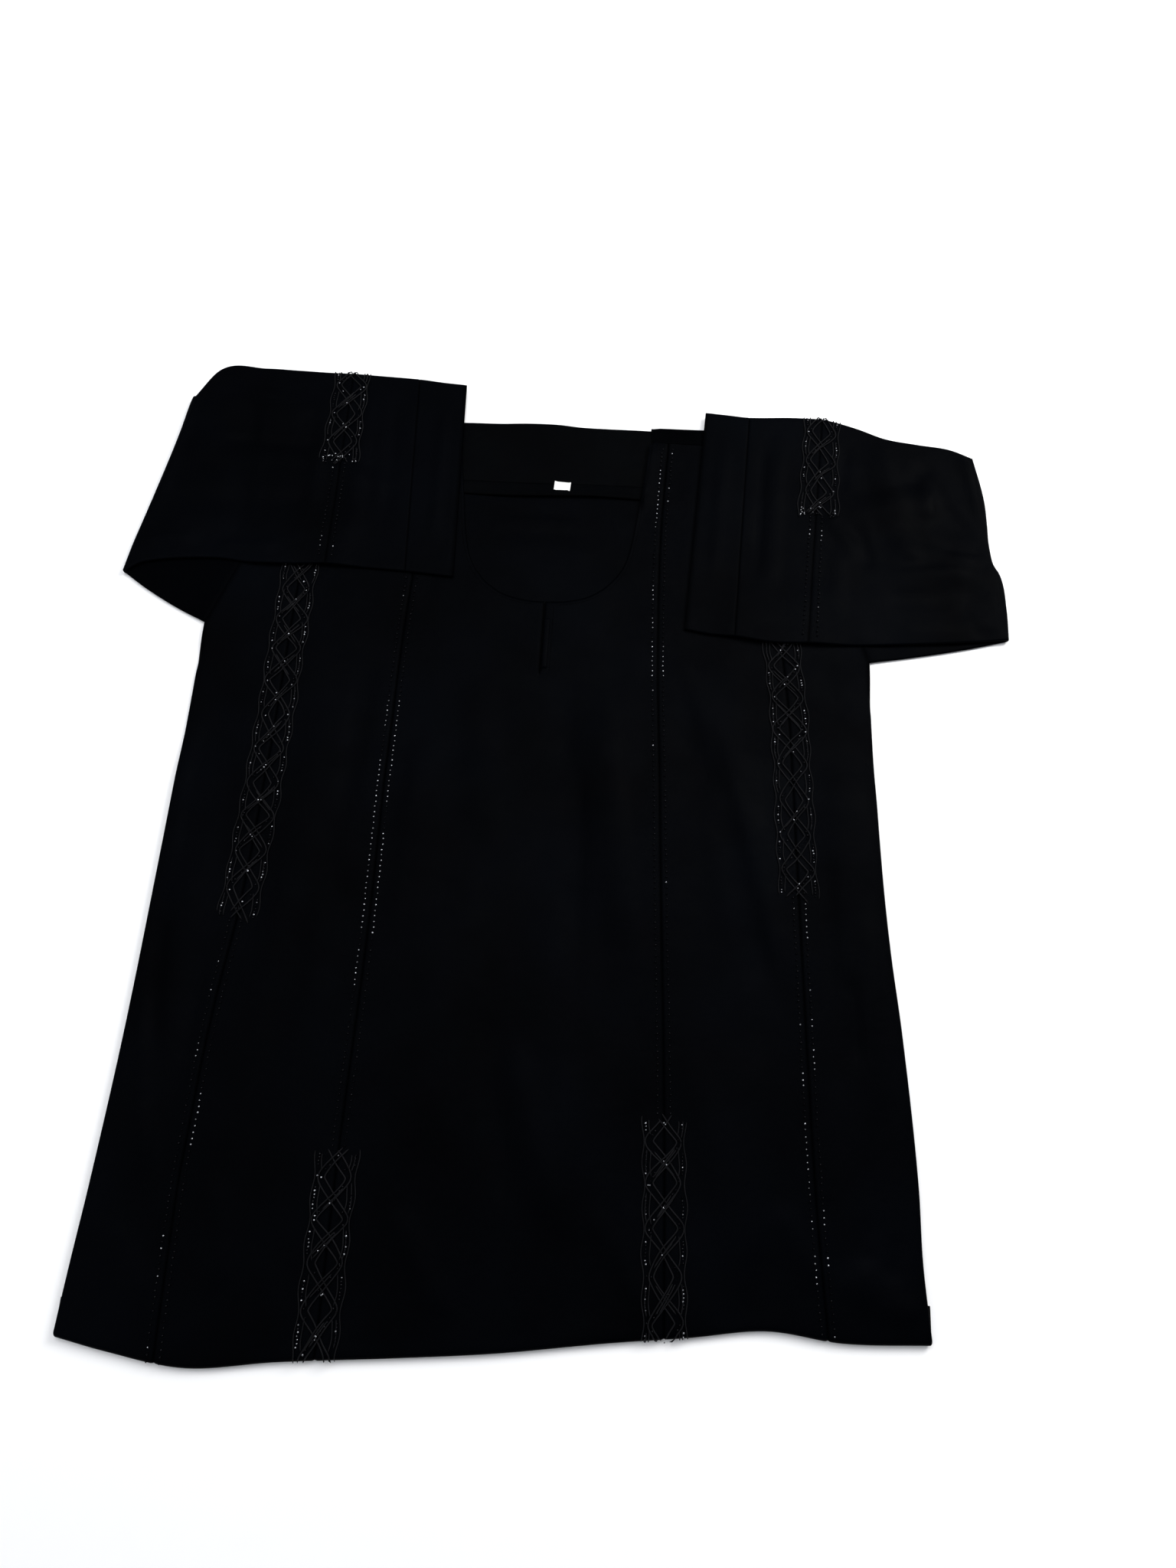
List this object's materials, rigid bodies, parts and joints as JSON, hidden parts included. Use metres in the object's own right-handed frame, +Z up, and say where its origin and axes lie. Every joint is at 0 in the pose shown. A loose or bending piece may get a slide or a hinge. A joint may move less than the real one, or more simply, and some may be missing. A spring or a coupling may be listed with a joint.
{
  "type": "abaya cloak",
  "caption": "Long dark abaya cloak laid flat with its sleeves folded in, a scooped neck with a slit, and corded braids and bead rows on its seams.",
  "frame": {"origin": "middle of the cloak's box, on the surface that it lies on", "axes": "+X across the cloak to the viewer's right, +Y up the cloak towards the neck, +Z up from the surface"},
  "size_m": [0.9008, 0.985, 0.0103],
  "materials": {
    "crepe": "matte crepe weave with a soft sheen",
    "facing": "matte plain weave",
    "cord_braid": "satin cord",
    "label": "woven satin"
  },
  "bodies": {
    "root": {"turned_under_layers": "crepe", "back_panel": "crepe", "centre_front": "crepe", "side_front_left": "crepe", "side_front_right": "crepe", "side_panel_left": "crepe", "side_panel_right": "crepe", "sleeve_left": "crepe", "sleeve_right": "crepe", "cuff_left": "crepe", "cuff_right": "crepe", "back_neck_facing": "facing", "slit_binding": "facing", "size_label": "label", "braid_outer_left": "cord_braid", "braid_outer_right": "cord_braid", "braid_lower_left": "cord_braid", "braid_lower_right": "cord_braid", "braid_sleeve_left": "cord_braid", "braid_sleeve_right": "cord_braid"}
  },
  "joints": []
}
